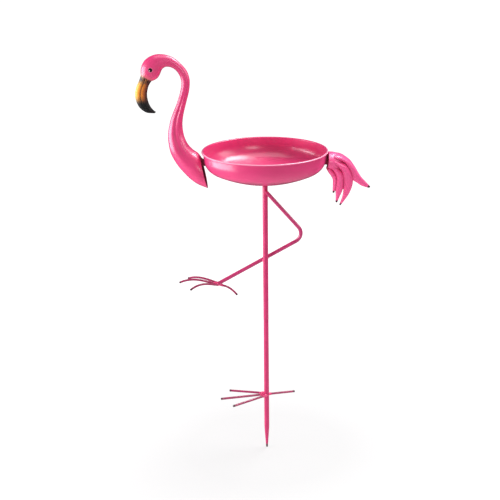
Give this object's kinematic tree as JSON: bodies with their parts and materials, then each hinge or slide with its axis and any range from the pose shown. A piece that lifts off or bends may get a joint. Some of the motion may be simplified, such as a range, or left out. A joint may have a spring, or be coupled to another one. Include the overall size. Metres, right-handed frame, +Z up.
{
  "type": "flamingo bird bath on a garden stake",
  "caption": "Round painted metal dish on a spiked post, with a flamingo's hollow head and neck on one side, a feathered tail on the other and a bent rod for the raised leg.",
  "frame": {"origin": "on the post's axis at the level of the ground, where the underside of the standing foot lies; the spike is below it", "axes": "+Z up along the post, the bird looks along -X, its tail is at +X"},
  "size_m": [0.5713, 0.3098, 1.0416],
  "materials": {
    "pink_paint": "glossy",
    "deep_pink_paint": "glossy"
  },
  "bodies": {
    "root": {"dish": "pink_paint", "upper_post": "pink_paint", "lower_post_with_spike": "pink_paint", "head_neck_and_breast": "pink_paint", "tail": "pink_paint", "breast_bracket": "deep_pink_paint", "tail_bracket": "deep_pink_paint", "raised_leg": "pink_paint", "raised_toe_middle": "pink_paint", "raised_toe_far": "pink_paint", "raised_toe_near": "pink_paint", "raised_toe_back": "pink_paint", "standing_toe_middle": "pink_paint", "standing_toe_far": "pink_paint", "standing_toe_near": "pink_paint", "standing_toe_back": "pink_paint"}
  },
  "joints": []
}
